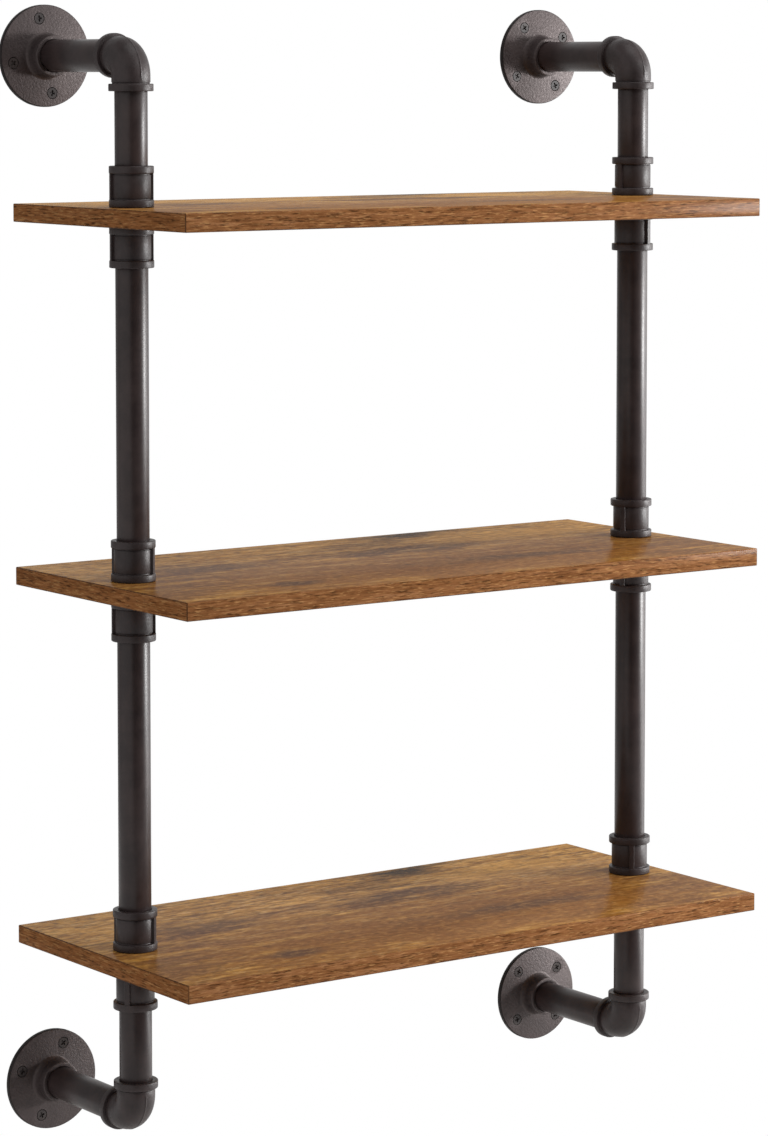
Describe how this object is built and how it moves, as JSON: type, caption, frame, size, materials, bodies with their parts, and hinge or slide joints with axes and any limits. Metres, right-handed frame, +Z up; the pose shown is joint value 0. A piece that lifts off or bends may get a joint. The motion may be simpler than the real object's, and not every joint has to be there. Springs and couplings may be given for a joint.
{
  "type": "wall shelf",
  "caption": "Open wall shelf: wooden boards clamped between beaded couplings on black pipe uprights, each held to the wall by elbows, short arms and screwed round flanges.",
  "frame": {"origin": "on the wall plane, midway between the four flange centres", "axes": "+Z up along the uprights, +Y into the wall so the front is -Y, +X to the right seen from the front"},
  "size_m": [0.619, 0.2894, 0.9734],
  "materials": {
    "board": "satin",
    "pipe": "satin",
    "fitting": "satin",
    "flange": "satin",
    "screw": "satin"
  },
  "bodies": {
    "root": {"bottom_shelf": "board", "left_bottom_coupling_above": "fitting", "left_bottom_coupling_below": "fitting", "left_bottom_through_nipple": "pipe", "left_lower_arm": "pipe", "left_lower_elbow": "fitting", "left_lower_flange": "flange", "left_lower_flange_screw_1": "screw", "left_lower_flange_screw_2": "screw", "left_lower_flange_screw_3": "screw", "left_lower_flange_screw_4": "screw", "left_lower_riser": "pipe", "left_middle_coupling_above": "fitting", "left_middle_coupling_below": "fitting", "left_middle_through_nipple": "pipe", "left_pipe_middle_to_bottom": "pipe", "left_pipe_top_to_middle": "pipe", "left_top_coupling_above": "fitting", "left_top_coupling_below": "fitting", "left_top_through_nipple": "pipe", "left_upper_arm": "pipe", "left_upper_elbow": "fitting", "left_upper_flange": "flange", "left_upper_flange_screw_1": "screw", "left_upper_flange_screw_2": "screw", "left_upper_flange_screw_3": "screw", "left_upper_flange_screw_4": "screw", "left_upper_riser": "pipe", "middle_shelf": "board", "right_bottom_coupling_above": "fitting", "right_bottom_coupling_below": "fitting", "right_bottom_through_nipple": "pipe", "right_lower_arm": "pipe", "right_lower_elbow": "fitting", "right_lower_flange": "flange", "right_lower_flange_screw_1": "screw", "right_lower_flange_screw_2": "screw", "right_lower_flange_screw_3": "screw", "right_lower_flange_screw_4": "screw", "right_lower_riser": "pipe", "right_middle_coupling_above": "fitting", "right_middle_coupling_below": "fitting", "right_middle_through_nipple": "pipe", "right_pipe_middle_to_bottom": "pipe", "right_pipe_top_to_middle": "pipe", "right_top_coupling_above": "fitting", "right_top_coupling_below": "fitting", "right_top_through_nipple": "pipe", "right_upper_arm": "pipe", "right_upper_elbow": "fitting", "right_upper_flange": "flange", "right_upper_flange_screw_1": "screw", "right_upper_flange_screw_2": "screw", "right_upper_flange_screw_3": "screw", "right_upper_flange_screw_4": "screw", "right_upper_riser": "pipe", "top_shelf": "board"}
  },
  "joints": []
}
